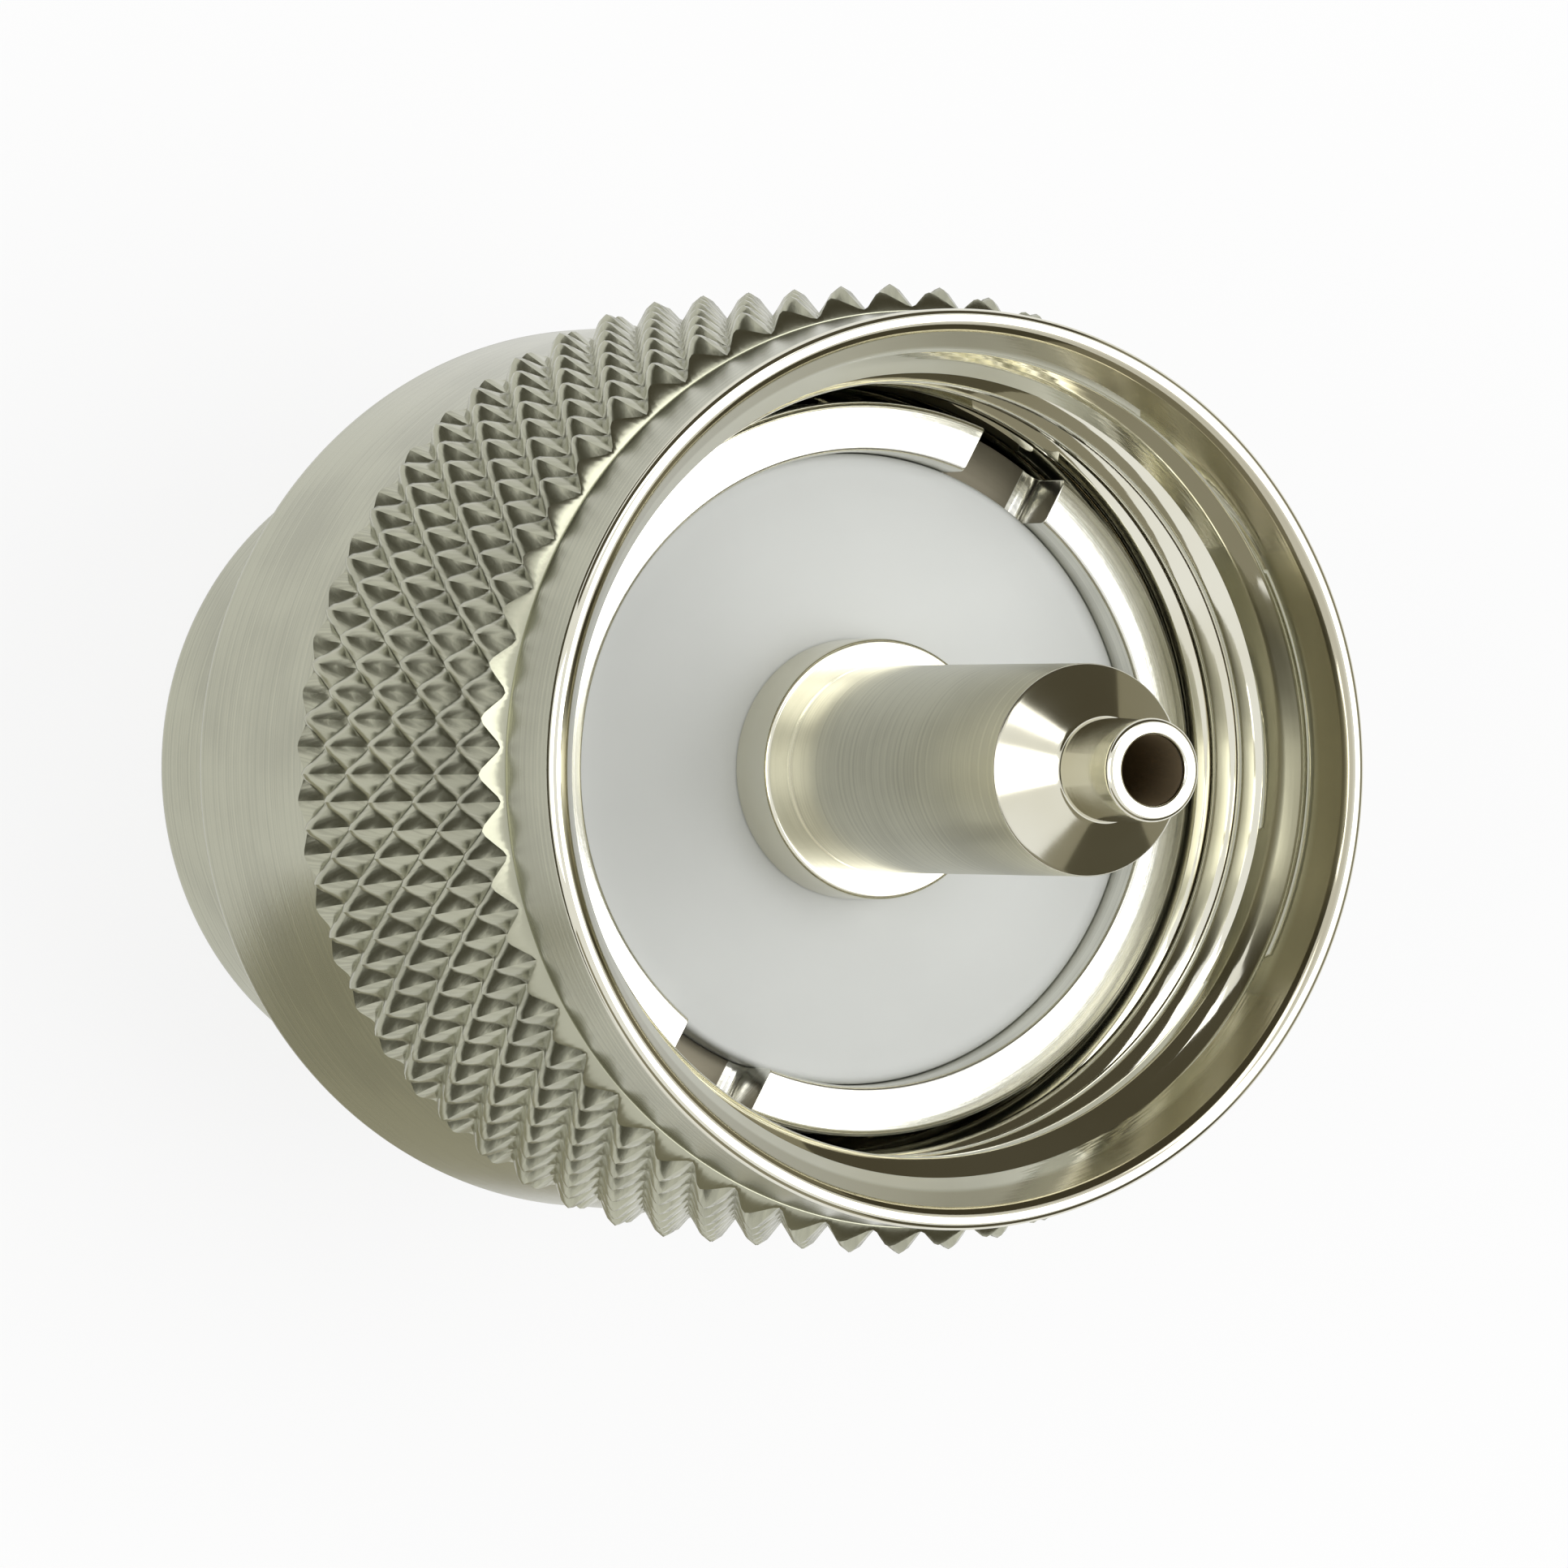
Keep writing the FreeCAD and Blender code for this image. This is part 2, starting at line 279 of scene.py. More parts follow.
@dataclass(frozen=True)
class Zone:
    """The part of a turned piece between two radii and two heights, up to a limit along X."""

    inner: float = -FAR
    outer: float = FAR
    low: float = -FAR
    high: float = FAR
    edge: float = 0.05 * MM
    left: float = -FAR

    def share(self, place: Place) -> Value:
        """Return 1 inside the zone and 0 outside it.

        Args:
            place: Where the shaded point lies.

        Returns:
            The share, with a soft edge.
        """
        edge = self.edge
        beyond = place.radius.ramp(self.inner - edge, self.inner + edge)
        above = place.height.ramp(self.low - edge, self.low + edge)
        outside = place.radius.ramp(self.outer - edge, self.outer + edge)
        past = place.height.ramp(self.high - edge, self.high + edge)
        beside = place.across.ramp(self.left - edge, self.left + edge)
        return beyond * above * beside * (1.0 - outside.greater(past))


EVERYWHERE = Zone()
NOWHERE = Zone(inner=FAR)


@dataclass(frozen=True)
class NickelPlate:
    """Nickel plating over turned brass: bright, with a satin zone and a rough zone painted dark as shade.

    The spans are the noise values between which a stain or a streak sets in, and the swings
    are how far a noise moves the roughness.
    """

    satin: Zone = NOWHERE
    # The zone painted dark as the shade in a recess, with its painted shade colour; it is also rougher.
    shaded_and_dull: Zone = NOWHERE
    colour: Colour = (0.76, 0.745, 0.64)
    stain: Colour = (0.69, 0.665, 0.54)
    satin_colour: Colour = (0.455, 0.455, 0.35)
    satin_shade: float = 0.82
    painted_shade_colour: Colour = (0.17, 0.155, 0.115)
    bright_roughness: float = 0.05
    satin_roughness: float = 0.24
    shaded_zone_roughness: float = 0.5
    least_roughness: float = 0.02
    mark_spacing: float = 0.09 * MM
    mark_depth: float = 0.0011 * MM
    mark_layers: float = 3.0
    mark_swing: float = 0.03
    bright_marks: float = 0.35
    grain_size: float = 0.12 * MM
    grain_depth: float = 0.0015 * MM
    grain_layers: float = 2.0
    cloud_size: float = 3.2 * MM
    cloud_layers: float = 4.0
    cloud_swing: float = 0.05
    stain_span: tuple[float, float] = (0.35, 0.75)
    streak_span: tuple[float, float] = (0.4, 0.62)
    streak_clouds: float = 0.6

    def sockets(self, book: NodeBook) -> dict[str | int, Input]:
        """Return what feeds the Principled shader.

        Args:
            book: The material's node maker.

        Returns:
            The shader's inputs by name.
        """
        place = Place.on(book)
        satin = self.satin.share(place)
        shaded_and_dull = self.shaded_and_dull.share(place)
        marks = book.noise(1 / self.mark_spacing, self.mark_layers, place.radius + place.height)
        grain = book.noise(1 / self.grain_size, self.grain_layers, place.point)
        clouds = book.noise(1 / self.cloud_size, self.cloud_layers, place.point)
        cut = marks * (self.mark_depth / self.grain_depth) * (self.bright_marks + satin)
        roughness = self.bright_roughness + satin * (self.satin_roughness - self.bright_roughness)
        roughness = roughness + shaded_and_dull * (self.shaded_zone_roughness - self.satin_roughness)
        roughness = roughness + (clouds - 0.5) * self.cloud_swing + (marks - 0.5) * self.mark_swing
        plate = book.blend(clouds.ramp(*self.stain_span), self.colour, self.stain)
        shaded = tuple(self.satin_shade * part for part in self.satin_colour)
        mottle = clouds * self.streak_clouds + marks * (1 - self.streak_clouds)
        brushed = book.blend(mottle.ramp(*self.streak_span), self.satin_colour, shaded)
        return {
            # The painted shade zone darkens the colour as shade and makes the surface rougher.
            "Base Color": book.blend(shaded_and_dull, book.blend(satin, plate, brushed), self.painted_shade_colour),
            "Metallic": 1.0,
            "Roughness": roughness.greater(self.least_roughness),
            "Normal": book.bump(cut + grain * satin, self.grain_depth),
        }


@dataclass(frozen=True)
class WhitePlastic:
    """The insulator's white fluoropolymer: waxy, with faint facing marks."""

    colour: Colour = (0.67, 0.685, 0.668)
    shade: Colour = (0.625, 0.64, 0.622)
    roughness: float = 0.42
    gloss: float = 0.35
    mark_spacing: float = 0.16 * MM
    mark_depth: float = 0.0008 * MM
    mark_layers: float = 2.0
    mark_swing: float = 0.08
    cloud_size: float = 2.5 * MM
    cloud_layers: float = 3.0

    def sockets(self, book: NodeBook) -> dict[str | int, Input]:
        """Return what feeds the Principled shader.

        Args:
            book: The material's node maker.

        Returns:
            The shader's inputs by name.
        """
        place = Place.on(book)
        marks = book.noise(1 / self.mark_spacing, self.mark_layers, place.radius + place.height)
        clouds = book.noise(1 / self.cloud_size, self.cloud_layers, place.point)
        return {
            "Base Color": book.blend(clouds, self.colour, self.shade),
            "Roughness": self.roughness + (marks - 0.5) * self.mark_swing,
            "Specular IOR Level": self.gloss,
            "Normal": book.bump(marks, self.mark_depth),
        }


@dataclass(frozen=True)
class GasketRubber:
    """The gasket's black rubber."""

    colour: Colour = (0.02, 0.02, 0.021)
    bloom: Colour = (0.045, 0.045, 0.046)
    roughness: float = 0.62
    grain_size: float = 0.1 * MM
    grain_depth: float = 0.006 * MM
    grain_layers: float = 3.0
    grain_swing: float = 0.2

    def sockets(self, book: NodeBook) -> dict[str | int, Input]:
        """Return what feeds the Principled shader.

        Args:
            book: The material's node maker.

        Returns:
            The shader's inputs by name.
        """
        grain = book.noise(1 / self.grain_size, self.grain_layers, Place.on(book).point)
        return {
            "Base Color": book.blend(grain, self.colour, self.bloom),
            "Roughness": self.roughness + grain * self.grain_swing,
            "Normal": book.bump(grain, self.grain_depth),
        }


Finish = NickelPlate | WhitePlastic | GasketRubber


@dataclass(frozen=True)
class Corner:
    """A corner of a turned outline, and the radius that it is rounded to."""

    radius: float
    height: float
    rounding: float = 0.0


@dataclass(frozen=True)
class Outline:
    """A closed outline of corners, whose rounded ones turn by a step at a time.

    A hem is a point close to each end of a long straight side. It keeps the shading flat there.
    """

    corners: Sequence[Corner]
    hem: float = 0.04 * MM
    step: float = math.radians(20)

    def arc(self, place: int) -> list[np.ndarray]:
        """Return the points that round one corner.

        Args:
            place: The corner's number.

        Returns:
            The points from the side before the corner to the side after it.
        """
        count = len(self.corners)
        before, corner, after = (self.corners[(place + shift) % count] for shift in (-1, 0, 1))
        tip = np.array([corner.radius, corner.height])
        if corner.rounding == 0:
            return [tip]
        sides = [np.array([side.radius, side.height]) - tip for side in (before, after)]
        sides = [side / np.linalg.norm(side) for side in sides]
        half = math.acos(float(np.clip(sides[0] @ sides[1], -1, 1))) / 2
        middle = sides[0] + sides[1]
        centre = tip + middle / np.linalg.norm(middle) * corner.rounding / math.sin(half)
        ends = [tip + side * corner.rounding / math.tan(half) - centre for side in sides]
        turn = math.pi - 2 * half
        pieces = max(2, math.ceil(turn / self.step))
        shares = [piece / pieces for piece in range(pieces + 1)]
        weights = [(math.sin((1 - share) * turn), math.sin(share * turn)) for share in shares]
        return [centre + (ends[0] * first + ends[1] * last) / math.sin(turn) for first, last in weights]

    def points(self) -> list[np.ndarray]:
        """Return the outline's points in order.

        Returns:
            The points of each corner, with two hems between corners that lie far enough apart.
        """
        arcs = [self.arc(place) for place in range(len(self.corners))]
        found = []
        for here, there in zip(arcs, arcs[1:] + arcs[:1]):
            found += here
            side = there[0] - here[-1]
            length = float(np.linalg.norm(side))
            if length > 4 * self.hem > 0:
                step = side * self.hem / length
                found += [here[-1] + step, there[0] - step]
        return found


class Skin:
    """Vertices and faces that sheets of points about the axis are gathered into."""

    def __init__(self) -> None:
        """Start with no vertices and no faces."""
        self.points: list[np.ndarray] = []
        self.faces: list[tuple[int, ...]] = []
        self.count = 0

    def sheet(
        self,
        angles: np.ndarray,
        radius: np.ndarray,
        height: np.ndarray,
        leaning: np.ndarray | None = None,
    ) -> None:
        """Add a sheet of points, joined to its neighbours along rows and columns.

        Args:
            angles: The angle of each column.
            radius: The distance from the axis, by row and column.
            height: The height, by row and column.
            leaning: For a sheet of triangles, True where a cell's diagonal rises with the angle.
        """
        rows, columns = radius.shape
        across = radius * np.cos(angles)
        deep = radius * np.sin(angles)
        self.points.append(np.stack([across, deep, height], axis=-1).reshape(-1, 3))
        numbers = np.arange(rows * columns).reshape(rows, columns) + self.count
        self.count += rows * columns
        corners = (numbers[:-1, :-1], numbers[:-1, 1:], numbers[1:, 1:], numbers[1:, :-1])
        here, beside, opposite, above = (corner.ravel() for corner in corners)
        if leaning is None:
            self.faces += list(zip(here, beside, opposite, above))
            return
        rises = leaning.ravel()[:, None]
        rising = ((here, beside, opposite), (here, opposite, above))
        falling = ((here, beside, above), (beside, opposite, above))
        for with_rise, with_fall in zip(rising, falling):
            chosen = np.where(rises, np.stack(with_rise, 1), np.stack(with_fall, 1))
            self.faces += [tuple(face) for face in chosen]

    def piece(self, name: str) -> bpy.types.Object:
        """Return the gathered sheets as one closed piece.

        Args:
            name: The piece's name.

        Returns:
            The new object.
        """
        mesh = bpy.data.meshes.new(name)
        faces = [tuple(int(number) for number in face) for face in self.faces]
        mesh.from_pydata(np.concatenate(self.points).tolist(), [], faces)
        shape = bmesh.new()
        shape.from_mesh(mesh)
        bmesh.ops.remove_doubles(shape, verts=shape.verts, dist=WELD)
        bmesh.ops.dissolve_degenerate(shape, edges=shape.edges, dist=WELD)
        bmesh.ops.recalc_face_normals(shape, faces=shape.faces)
        shape.to_mesh(mesh)
        shape.free()
        mesh.shade_smooth()
        mesh.set_sharp_from_angle(angle=CREASE)
        made = bpy.data.objects.new(name, mesh)
        bpy.context.scene.collection.objects.link(made)
        return made


def turned(name: str, outline: Outline, columns: int = 256) -> bpy.types.Object:
    """Return the piece that a closed outline sweeps about the axis.

    Args:
        name: The piece's name.
        outline: The closed outline.
        columns: The number of flats around.

    Returns:
        The new object.
    """
    points = outline.points()
    ring = np.array(points + points[:1])
    angles = np.linspace(0, FULL_TURN, columns + 1)
    ones = np.ones(columns + 1)
    skin = Skin()
    skin.sheet(angles, np.outer(ring[:, 0], ones), np.outer(ring[:, 1], ones))
    return skin.piece(name)


def seated(piece: bpy.types.Object, body: Body, node: str, slot: str, finish: Finish) -> None:
    """Dress a piece, and let it ride on its body in place of a node.

    Args:
        piece: The piece.
        body: The body that it moves with.
        node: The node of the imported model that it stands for.
        slot: The record's material slot.
        finish: The surface's finish.
    """
    piece.data.materials.clear()
    piece.data.materials.append(dressed(slot, finish))
    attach(piece, body.value)
    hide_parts(node)
    LOG.info("%s: %d faces", piece.name, len(piece.data.polygons))


@dataclass(frozen=True)
class Knurl:
    """Rows of raised diamonds between two turned chamfers.

    The ease is the share of a half pitch over which a ridge or a valley is rounded. Near the
    chamfers, the gap keeps a row of points from running into the edge that the chamfer cuts.
    """

    rear: float
    front: float
    crest: float
    valley: float
    chamfer: float
    count: int = 54
    half_pitches: int = 9
    ease: float = 0.2
    gap: float = 0.02

    def places(self, first: int, last: int) -> np.ndarray:
        """Return the places of the points along or around the knurl.

        Args:
            first: The half pitch that they start at.
            last: The half pitch that they end at.

        Returns:
            The places, counted in half pitches.
        """
        parts = np.array([0.0, self.ease, 0.5, 1 - self.ease])
        return np.append((np.arange(first, last)[:, None] + parts).ravel(), float(last))

    def columns(self) -> np.ndarray:
        """Return the places of the columns, counted in half pitches."""
        return self.places(0, 2 * self.count)

    def eased(self, share: np.ndarray) -> np.ndarray:
        """Return a share of a half pitch with its two ends rounded, which rounds the ridges.

        Args:
            share: The share, from 0 to 1.

        Returns:
            The rounded share, which stays away from 0 and 1.
        """
        low = share ** 2 / (2 * self.ease) + self.ease / 2
        high = 1 - (1 - share) ** 2 / (2 * self.ease) - self.ease / 2
        return np.where(share < self.ease, low, np.where(share > 1 - self.ease, high, share))

    def leaning(self, columns: np.ndarray, rows: np.ndarray) -> np.ndarray:
        """Return True where the valley of a cell rises with the angle.

        Args:
            columns: Places around, in half pitches.
            rows: Places along the axis, in half pitches.

        Returns:
            A truth for each place.
        """
        last = self.half_pitches - 1
        return (np.floor(columns) + np.clip(np.floor(rows), 0, last)) % 2 == 1

    def radius(self, columns: np.ndarray, rows: np.ndarray) -> np.ndarray:
        """Return the distance from the axis of the four-sided pyramids.

        Args:
            columns: Places around, in half pitches.
            rows: Places along the axis, in half pitches.

        Returns:
            The radius at each place.
        """
        around = self.eased(columns - np.floor(columns))
        along = self.eased(rows - np.floor(rows))
        odd = (np.floor(columns) + np.floor(rows)) % 2 == 1
        rise = np.where(odd, np.abs(around - along), np.abs(1 - around - along))
        return self.valley + (self.crest - self.valley) * rise / (1 - self.ease)

    def end_rows(self, columns: np.ndarray, inner_is_odd: bool) -> tuple[np.ndarray, np.ndarray]:
        """Return the rows of the outermost half pitch, where the chamfer cuts the pyramids.

        Args:
            columns: Places around, in half pitches.
            inner_is_odd: True where the peaks of the inner row stand on odd columns.

        Returns:
            The rows' places past the inner row from 0 to 1, and their radius on the chamfer.
        """
        length = (self.front - self.rear) / self.half_pitches
        depth = (self.crest - self.valley) / (1 - self.ease)
        around = self.eased(columns - np.floor(columns))
        odd_cell = np.floor(columns) % 2 == 1
        away = np.where(odd_cell == inner_is_odd, around, 1 - around)
        slope = length / depth
        start = (self.valley - self.chamfer) / depth
        crease = (1 + slope - start - away) / (1 + slope)
        ones = np.ones_like(columns)
        straight = [self.ease * ones, 0.5 * ones, np.minimum(1 - self.ease, crease - self.gap)]
        places = np.stack([*straight, crease, ones])
        return places, self.chamfer + (1 - places) * length

    def sheet(self, skin: Skin) -> None:
        """Add the knurl to a skin, from its rear chamfer to its front one.

        Args:
            skin: The skin that gathers the nut's sheets.
        """
        columns = self.columns()
        ends = self.half_pitches - 1
        inner = np.outer(self.places(1, ends), np.ones_like(columns))
        rear, rear_chamfer = self.end_rows(columns, inner_is_odd=True)
        front, front_chamfer = self.end_rows(columns, inner_is_odd=ends % 2 == 1)
        rows = np.concatenate([1 - rear[::-1], inner, ends + front])
        radius = self.radius(np.broadcast_to(columns, rows.shape), rows)
        chamfered = 2
        radius[:chamfered] = rear_chamfer[::-1][:chamfered]
        radius[-chamfered:] = front_chamfer[-chamfered:]
        height = self.rear + rows * (self.front - self.rear) / self.half_pitches
        middles = (rows[:-1, :-1] + rows[1:, 1:]) / 2
        between = np.broadcast_to((columns[:-1] + columns[1:]) / 2, middles.shape)
        skin.sheet(columns * math.pi / self.count, radius, height, self.leaning(between, middles))


@dataclass(frozen=True)
class Thread:
    """A right-handed inside thread that starts in a chamfered mouth.

    Its profile runs from the middle of a crest to the middle of the next root: the places are
    in pitches, and the depths are 0 at the crest and 1 at the root.
    """

    low: float
    rim: float
    crest: float
    root: float
    mouth: float
    lip: float
    lead_in: float = math.tan(math.radians(30))
    pitch: float = 25.4 / 24 * MM
    first_crest: float = 0.5 * MM
    first_angle: float = math.radians(209)
    profile_places: tuple[float, ...] = (0.0, 0.1, 0.15, 0.41, 0.46, 0.5)
    profile_depths: tuple[float, ...] = (0.0, 0.0, 0.06, 0.94, 1.0, 1.0)
    flank_middle: float = 0.28

    def start(self) -> float:
        """Return the height of a crest's middle at angle 0."""
        return self.rim - self.first_crest - self.pitch * self.first_angle / FULL_TURN

    def depth(self, share: np.ndarray) -> np.ndarray:
        """Return the depth of the groove, from 0 at a crest to 1 at a root.

        Args:
            share: The place along the axis in pitches from a crest's middle.

        Returns:
            The depth at each place.
        """
        away = np.abs(share - np.round(share))
        return np.interp(away, self.profile_places, self.profile_depths)

    def sheet(self, skin: Skin, angles: np.ndarray) -> None:
        """Add the thread to a skin, from its low end up to the mouth's lip.

        Args:
            skin: The skin that gathers the nut's sheets.
            angles: The angle of each column.
        """
        half = np.sort([*self.profile_places, self.flank_middle])
        marks = np.concatenate([half, 1 - half[-2:0:-1]])
        start = self.start()
        below = math.ceil((start - self.low) / self.pitch) + 1
        above = math.ceil((self.rim - start) / self.pitch) + 1
        shares = (np.arange(-below, above)[:, None] + marks).ravel()
        climb = angles / FULL_TURN
        height = start + self.pitch * (shares[:, None] + climb)
        height = np.clip(height, self.low, self.rim - self.lip)
        grooves = self.depth((height - start) / self.pitch - climb)
        radius = self.crest + (self.root - self.crest) * grooves
        radius = np.maximum(radius, self.mouth - (self.rim - height) * self.lead_in)
        skin.sheet(angles, radius, height)


@dataclass(frozen=True)
class CouplingNut:
    """The knurled nut: smooth tail, knurl, front collar, threaded bore and ring groove.

    Its outside is satin from satin_inner outwards, and its lead-in is painted brown between the
    two shade radii, as shade that darkens its reflections.
    """

    rear: float
    rim: float
    collar: float = 8.71 * MM
    collar_length: float = 1.9 * MM
    tail: float = 8.75 * MM
    knurl_length: float = 8.8 * MM
    knurl_crest: float = 9.26 * MM
    knurl_valley: float = 8.78 * MM
    knurl_chamfer: float = 8.73 * MM
    bore: float = 7.37 * MM
    thread_root: float = 7.94 * MM
    thread_length: float = 9.1 * MM
    relief: float = 8.0 * MM
    relief_length: float = 1.1 * MM
    mouth: float = 8.36 * MM
    mouth_round: float = 0.3 * MM
    mouth_lip: float = 0.16 * MM
    groove: float = 7.9 * MM
    groove_low: float = 1.6 * MM
    groove_high: float = 2.5 * MM
    bore_chamfer: float = 0.4 * MM
    tail_round: float = 0.25 * MM
    rim_round: float = 0.15 * MM
    satin_inner: float = 8.6 * MM
    # The lead-in between these two radii is painted brown as shade.
    lead_in_shade_inner: float = 7.98 * MM
    lead_in_shade_outer: float = 8.46 * MM
    painted_brown_shade: Colour = (0.5, 0.47, 0.36)
    brown_shade_roughness: float = 0.27

    def finish(self) -> NickelPlate:
        """Return the nut's finish.

        Returns:
            Bright plate, satin on the outside and painted brown shade in the lead-in.
        """
        return NickelPlate(
            satin=Zone(inner=self.satin_inner, high=self.rim - self.rim_round),
            shaded_and_dull=Zone(inner=self.lead_in_shade_inner, outer=self.lead_in_shade_outer),
            painted_shade_colour=self.painted_brown_shade,
            shaded_zone_roughness=self.brown_shade_roughness,
        )

    def dress(self) -> None:
        """Build the nut and seat it in place of its node."""
        seated(self.build(), Body.NUT, "coupling_nut", "nickel_knurled", self.finish())

    def plain_rows(self, corners: Sequence[Corner]) -> tuple[np.ndarray, np.ndarray]:
        """Return the points of an open run of corners, whose two ends stay sharp.

        Args:
            corners: The corners of the run.

        Returns:
            The radius and the height of each point.
        """
        points = np.array(Outline(corners).points())
        last = np.array([corners[-1].radius, corners[-1].height])
        stop = int(np.argmin(np.linalg.norm(points - last, axis=1)))
        run = points[: stop + 1]
        return run[:, 0], run[:, 1]

    def build(self) -> bpy.types.Object:
        """Return the nut as one piece.

        Returns:
            The new object.
        """
        front = self.rim - self.collar_length
        back = front - self.knurl_length
        low = self.rim - self.thread_length
        knurl = Knurl(back, front, self.knurl_crest, self.knurl_valley, self.knurl_chamfer)
        angles = knurl.columns() * math.pi / knurl.count
        ones = np.ones_like(angles)
        lip = [
            Corner(self.mouth - self.mouth_lip * Thread.lead_in, self.rim - self.mouth_lip),
            Corner(self.mouth, self.rim, self.mouth_round),
            Corner(self.collar, self.rim, self.rim_round),
            Corner(self.collar, front),
            Corner(self.knurl_chamfer, front),
        ]
        tail = [
            Corner(self.knurl_chamfer, back),
            Corner(self.tail, back),
            Corner(self.tail, self.rear, self.tail_round),
            Corner(self.bore + self.bore_chamfer, self.rear),
            Corner(self.bore, self.rear + self.bore_chamfer),
            Corner(self.bore, self.rear + self.groove_low),
            Corner(self.groove, self.rear + self.groove_low),
            Corner(self.groove, self.rear + self.groove_high),
            Corner(self.bore, self.rear + self.groove_high),
            Corner(self.bore, low - self.relief_length),
            Corner(self.relief, low - self.relief_length),
            Corner(self.relief, low),
        ]
        skin = Skin()
        knurl.sheet(skin)
        thread = Thread(low, self.rim, self.bore, self.thread_root, self.mouth, self.mouth_lip)
        thread.sheet(skin, angles)
        for corners in (lip, tail):
            radius, height = self.plain_rows(corners)
            skin.sheet(angles, np.outer(radius, ones), np.outer(height, ones))
        skin.sheet(angles, *self.step_rows(angles, thread))
        return skin.piece("coupling_nut_detail")

    def step_rows(self, angles: np.ndarray, thread: Thread) -> tuple[np.ndarray, np.ndarray]:
        """Return the shoulder where the thread's grooves stop at the relief.

        Args:
            angles: The angle of each column.
            thread: The thread.

        Returns:
            The radius and the height, by row and column.
        """
        grooves = thread.depth((thread.low - thread.start()) / thread.pitch - angles / FULL_TURN)
        end = thread.crest + (thread.root - thread.crest) * grooves
        radius = np.stack([np.full_like(angles, self.relief), end])
        return radius, np.full_like(radius, thread.low)


@dataclass(frozen=True)
class PlugBody:
    """The body: slotted front ring, flange, barrel and the stub inside the back nut.

    The slots' floors are rough from milling and painted dark as the shade in the slots, apart
    from a strip beside one wall that keeps the ring's pale satin, and the painted shade ends a
    small rise above the floor.
    """

    ring_face: float
    rear: float
    ring: float = 7.04 * MM
    ring_inner: float = 6.08 * MM
    flange_length: float = 2.85 * MM
    web: float = 0.7 * MM
    barrel: float = 5.92 * MM
    shoulder: float = 2.6 * MM
    stub: float = 5.28 * MM
    pocket: float = 4.9 * MM
    pocket_rear: float = 3.9 * MM
    rear_bore: float = 3.7 * MM
    rear_cone: float = 4.7 * MM
    cone_length: float = 1.4 * MM
    ring_round: float = 0.12 * MM
    slot_width: float = 2.0 * MM
    slot_depth: float = 1.2 * MM
    slot_corner: float = 0.25 * MM
    edge: float = 0.08 * MM
    edge_segments: int = 3
    face_colour: Colour = (0.84, 0.835, 0.77)
    face_roughness: float = 0.2
    face_margin: float = 0.2 * MM
    # The slot floors are painted dark as shade and made rough; a strip beside one wall is left out.
    milled_shade_rise: float = 0.03 * MM
    milled_shade_edge: float = 0.015 * MM
    unshaded_strip: float = 0.34 * MM

    def finish(self) -> NickelPlate:
        """Return the body's finish.

        Returns:
            Bright plate, with a pale satin ring, and slot floors that are rough and painted dark as shade.
        """
        floor = self.ring_face - self.slot_depth
        # Painted shade on the slot floors, which are also rough from milling.
        milled_and_shaded = Zone(
            inner=self.ring_inner,
            low=floor - MM,
            high=floor + self.milled_shade_rise,
            edge=self.milled_shade_edge,
            left=self.unshaded_strip - self.slot_width / 2,
        )
        return NickelPlate(
            satin=Zone(inner=self.ring_inner - self.face_margin, low=floor - MM),
            satin_colour=self.face_colour,
            satin_roughness=self.face_roughness,
            shaded_and_dull=milled_and_shaded,
        )

    def dress(self) -> None:
        """Build the body and seat it in place of its node."""
        seated(self.build(), Body.PLUG, "plug_body", "nickel_body", self.finish())

    def build(self) -> bpy.types.Object:
        """Return the body as one piece, with its slots cut and its edges rounded.

        Returns:
            The new object.
        """
        flange_rear = self.ring_face - self.flange_length
        floor = flange_rear + self.web
        corners = [
            Corner(self.rear_cone, self.rear),
            Corner(self.stub, self.rear),
            Corner(self.stub, self.rear + self.shoulder),
            Corner(self.barrel, self.rear + self.shoulder),
            Corner(self.barrel, flange_rear),
            Corner(self.ring, flange_rear),
            Corner(self.ring, self.ring_face, self.ring_round),
            Corner(self.ring_inner, self.ring_face, self.ring_round),
            Corner(self.ring_inner, floor),
            Corner(self.pocket, floor),
            Corner(self.pocket, self.rear + self.pocket_rear),
            Corner(self.rear_bore, self.rear + self.pocket_rear),
            Corner(self.rear_bore, self.rear + self.cone_length),
        ]
        blank = turned("plug_body_detail", Outline(corners, hem=0.0))
        cutter = self.slot_cutter()
        cut = blank.modifiers.new("slots", "BOOLEAN")
        cut.object = cutter
        cut.solver = "EXACT"
        soften = blank.modifiers.new("edges", "BEVEL")
        soften.width = self.edge / MM
        soften.segments = self.edge_segments
        soften.limit_method = "ANGLE"
        soften.angle_limit = CUT_CREASE
        settle(blank, cutter)
        return blank

    def slot_cutter(self) -> bpy.types.Object:
        """Return the bar that cuts the two slots across the ring.

        Returns:
            A bar that lies along Y through the top of the ring, with its lower edges rounded.
        """
        half = self.slot_width / 2
        reach = 2 * self.ring
        low = self.ring_face - self.slot_depth
        high = self.ring_face + self.slot_depth
        corners = [
            Corner(-half, low, self.slot_corner),
            Corner(half, low, self.slot_corner),
            Corner(half, high),
            Corner(-half, high),
        ]
        section = Outline(corners, hem=0.0).points()
        count = len(section)
        bar = Skin()
        bar.points = [np.array([(x, y, z) for y in (-reach, reach) for x, z in section])]
        bar.faces = [tuple(range(count)), tuple(range(count, 2 * count))]
        for place in range(count):
            after = (place + 1) % count
            bar.faces.append((place, after, count + after, count + place))
        return bar.piece("slot_cutter")


